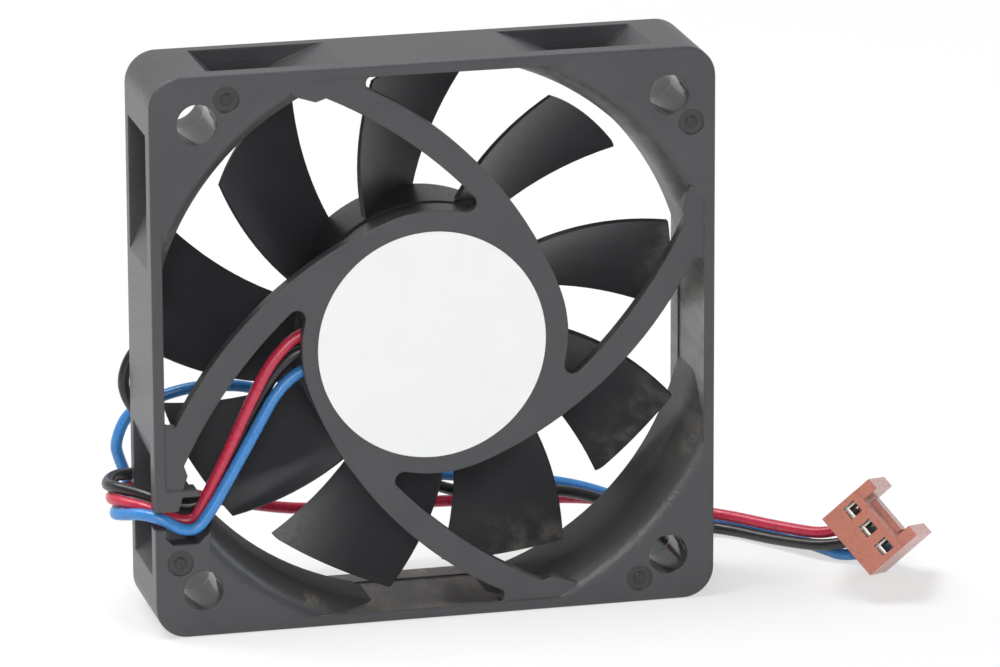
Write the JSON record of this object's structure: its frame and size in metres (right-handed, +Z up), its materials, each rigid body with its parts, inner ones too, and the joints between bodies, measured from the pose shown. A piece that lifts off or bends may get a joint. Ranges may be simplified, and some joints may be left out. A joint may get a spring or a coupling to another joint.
{
  "type": "axial cooling fan",
  "caption": "Square axial cooling fan with a flared duct, curved struts, swept blades on a ball-bearing hub, and insulated leads ending in a crimp connector.",
  "frame": {"origin": "middle of the fan frame's bottom edge, on the floor the fan stands on", "axes": "+Z up, +X to the right seen from the label side, +Y from the label side to the inlet side along the fan axis"},
  "size_m": [0.0884, 0.0321, 0.06],
  "materials": {
    "frame_plastic": "dark grey glass-filled thermoplastic, fine matte moulding",
    "label_paper": "plain white coated paper, unprinted",
    "tube_brass": "turned brass",
    "bearing_steel": "ground bearing steel",
    "ball_steel": "polished bearing steel",
    "cage_steel": "pressed steel",
    "spring_steel": "spring steel",
    "shaft_steel": "ground steel",
    "blade_plastic": "near-black thermoplastic, satin moulding",
    "yoke_steel": "drawn steel cup",
    "magnet_rubber": "bonded ferrite strip",
    "core_steel": "stacked electrical steel",
    "insulator_plastic": "natural nylon",
    "copper_wire": "enamelled copper winding",
    "board_laminate": "glass-epoxy laminate",
    "chip_plastic": "moulded epoxy package",
    "capacitor_body": "dipped capacitor body",
    "resistor_body": "ceramic chip resistor",
    "solder": "tin solder",
    "red_insulation": "satin vinyl insulation",
    "black_insulation": "satin vinyl insulation",
    "blue_insulation": "satin vinyl insulation",
    "connector_plastic": "terracotta nylon moulding",
    "terminal_tin": "tinned phosphor bronze"
  },
  "bodies": {
    "fixed": {"frame": "frame_plastic", "label": "label_paper", "bearing_tube": "tube_brass", "front_outer_ring": "bearing_steel", "rear_outer_ring": "bearing_steel", "preload_spring": "spring_steel", "stator_core": "core_steel", "upper_insulator": "insulator_plastic", "lower_insulator": "insulator_plastic", "stator_windings": "copper_wire", "circuit_board": "board_laminate", "hall_sensor": "chip_plastic", "driver_chip": "chip_plastic", "board_capacitor": "capacitor_body", "board_resistors": "resistor_body", "solder_joints": "solder", "red_lead": "red_insulation", "black_lead": "black_insulation", "blue_lead": "blue_insulation", "connector_housing": "connector_plastic", "crimp_terminals": "terminal_tin"},
    "rotor": {"impeller": "blade_plastic", "rotor_yoke": "yoke_steel", "ring_magnet": "magnet_rubber", "shaft": "shaft_steel", "retaining_clip": "spring_steel", "front_inner_ring": "bearing_steel", "rear_inner_ring": "bearing_steel"},
    "front_ball_set": {"front_balls": "ball_steel", "front_cage": "cage_steel"},
    "rear_ball_set": {"rear_balls": "ball_steel", "rear_cage": "cage_steel"}
  },
  "joints": [
    {"name": "rotor_spin", "type": "hinge", "parent": "fixed", "child": "rotor", "pos_m": [0, 0, 0.03], "axis": [0, 1, 0], "continuous": true},
    {"name": "front_cage_spin", "type": "hinge", "parent": "fixed", "child": "front_ball_set", "pos_m": [0, 0, 0.03], "axis": [0, 1, 0], "continuous": true},
    {"name": "rear_cage_spin", "type": "hinge", "parent": "fixed", "child": "rear_ball_set", "pos_m": [0, 0, 0.03], "axis": [0, 1, 0], "continuous": true}
  ],
  "couplings": [
    {"joint": "front_cage_spin", "follows": "rotor_spin", "ratio": 0.391},
    {"joint": "rear_cage_spin", "follows": "rotor_spin", "ratio": 0.391}
  ]
}
